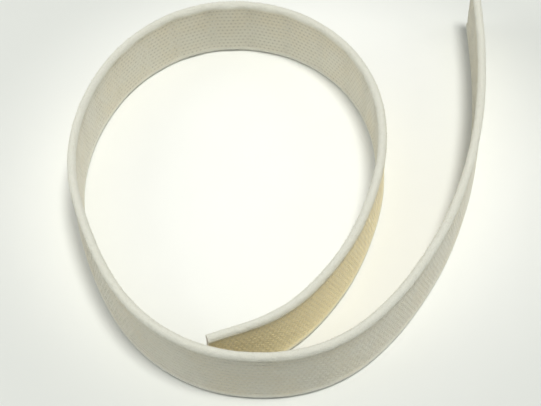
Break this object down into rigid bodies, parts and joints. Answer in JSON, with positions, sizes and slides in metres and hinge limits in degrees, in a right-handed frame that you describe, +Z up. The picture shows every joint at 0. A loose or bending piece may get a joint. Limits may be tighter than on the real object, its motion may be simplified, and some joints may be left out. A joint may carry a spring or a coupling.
{
  "type": "martial arts belt",
  "caption": "Short white cotton martial arts belt, a sewn flat band standing on its long edge in a loose loop with a straight tail.",
  "frame": {"origin": "on the floor plane, under the middle of the belt's bounding box", "axes": "+Z up, along the belt's width; +Y towards the tail end; +X to the side that the tail is on"},
  "size_m": [0.252, 0.2727, 0.04],
  "materials": {
    "cover_cotton": "matte, brushed",
    "canvas": "matte",
    "thread": "matte"
  },
  "bodies": {
    "root": {"cover": "cover_cotton", "core_ply_1": "canvas", "core_ply_2": "canvas", "core_ply_3": "canvas", "outer_thread_01": "thread", "inner_thread_01": "thread", "outer_thread_02": "thread", "inner_thread_02": "thread", "outer_thread_03": "thread", "inner_thread_03": "thread", "outer_thread_04": "thread", "inner_thread_04": "thread", "outer_thread_05": "thread", "inner_thread_05": "thread", "outer_thread_06": "thread", "inner_thread_06": "thread", "outer_thread_07": "thread", "inner_thread_07": "thread", "outer_thread_08": "thread", "inner_thread_08": "thread", "outer_thread_09": "thread", "inner_thread_09": "thread", "outer_thread_10": "thread", "inner_thread_10": "thread", "outer_thread_11": "thread", "inner_thread_11": "thread", "outer_thread_12": "thread", "inner_thread_12": "thread"}
  },
  "joints": []
}
